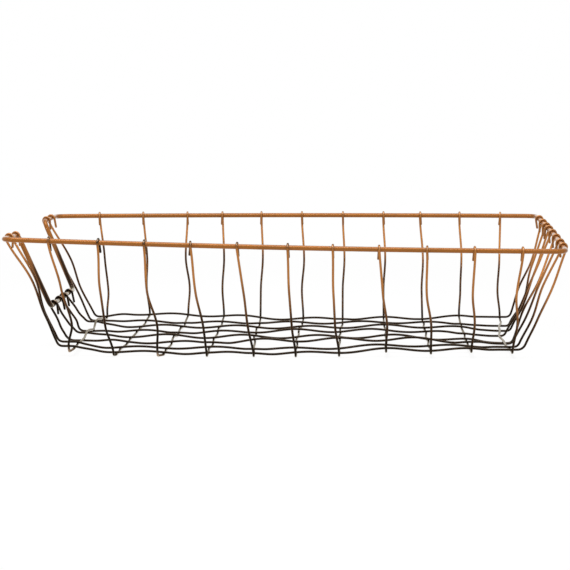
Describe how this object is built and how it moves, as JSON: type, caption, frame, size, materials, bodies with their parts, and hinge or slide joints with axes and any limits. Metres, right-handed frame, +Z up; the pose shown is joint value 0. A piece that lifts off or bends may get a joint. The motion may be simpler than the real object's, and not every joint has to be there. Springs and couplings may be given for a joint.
{
  "type": "rectangular wire tray",
  "caption": "Long open basket tray of wavy crossed wires hooked over a heavier rim wire that dips at one end.",
  "frame": {"origin": "on the resting plane, under the middle of the tray", "axes": "+X along the length, away from the end with the dip; +Y from the front long side to the rear; +Z up"},
  "size_m": [0.4714, 0.3136, 0.1047],
  "materials": {
    "copper_coat": "satin copper coat over dark wire",
    "long_wire_coat_1": "dark bronze coat, sprayed copper towards the rim",
    "long_wire_coat_2": "dark bronze coat, sprayed copper towards the rim",
    "long_wire_coat_3": "dark bronze coat, sprayed copper towards the rim",
    "long_wire_coat_4": "dark bronze coat, sprayed copper towards the rim",
    "long_wire_coat_5": "dark bronze coat, sprayed copper towards the rim",
    "long_wire_coat_6": "dark bronze coat, sprayed copper towards the rim",
    "long_wire_coat_7": "dark bronze coat, sprayed copper towards the rim",
    "long_wire_coat_8": "dark bronze coat, sprayed copper towards the rim",
    "cross_wire_coat_1": "copper coat that fades to dark bronze towards the floor",
    "cross_wire_coat_2": "copper coat that fades to dark bronze towards the floor",
    "cross_wire_coat_3": "copper coat that fades to dark bronze towards the floor",
    "cross_wire_coat_4": "copper coat that fades to dark bronze towards the floor",
    "cross_wire_coat_5": "copper coat that fades to dark bronze towards the floor",
    "cross_wire_coat_6": "copper coat that fades to dark bronze towards the floor",
    "cross_wire_coat_7": "copper coat that fades to dark bronze towards the floor",
    "cross_wire_coat_8": "copper coat that fades to dark bronze towards the floor",
    "cross_wire_coat_9": "copper coat that fades to dark bronze towards the floor",
    "cross_wire_coat_10": "copper coat that fades to dark bronze towards the floor",
    "cross_wire_coat_11": "copper coat that fades to dark bronze towards the floor"
  },
  "bodies": {
    "root": {"rim_wire": "copper_coat", "long_wire_1": "long_wire_coat_1", "long_wire_2": "long_wire_coat_2", "long_wire_3": "long_wire_coat_3", "long_wire_4": "long_wire_coat_4", "long_wire_5": "long_wire_coat_5", "long_wire_6": "long_wire_coat_6", "long_wire_7": "long_wire_coat_7", "long_wire_8": "long_wire_coat_8", "cross_wire_1": "cross_wire_coat_1", "cross_wire_2": "cross_wire_coat_2", "cross_wire_3": "cross_wire_coat_3", "cross_wire_4": "cross_wire_coat_4", "cross_wire_5": "cross_wire_coat_5", "cross_wire_6": "cross_wire_coat_6", "cross_wire_7": "cross_wire_coat_7", "cross_wire_8": "cross_wire_coat_8", "cross_wire_9": "cross_wire_coat_9", "cross_wire_10": "cross_wire_coat_10", "cross_wire_11": "cross_wire_coat_11"}
  },
  "joints": []
}
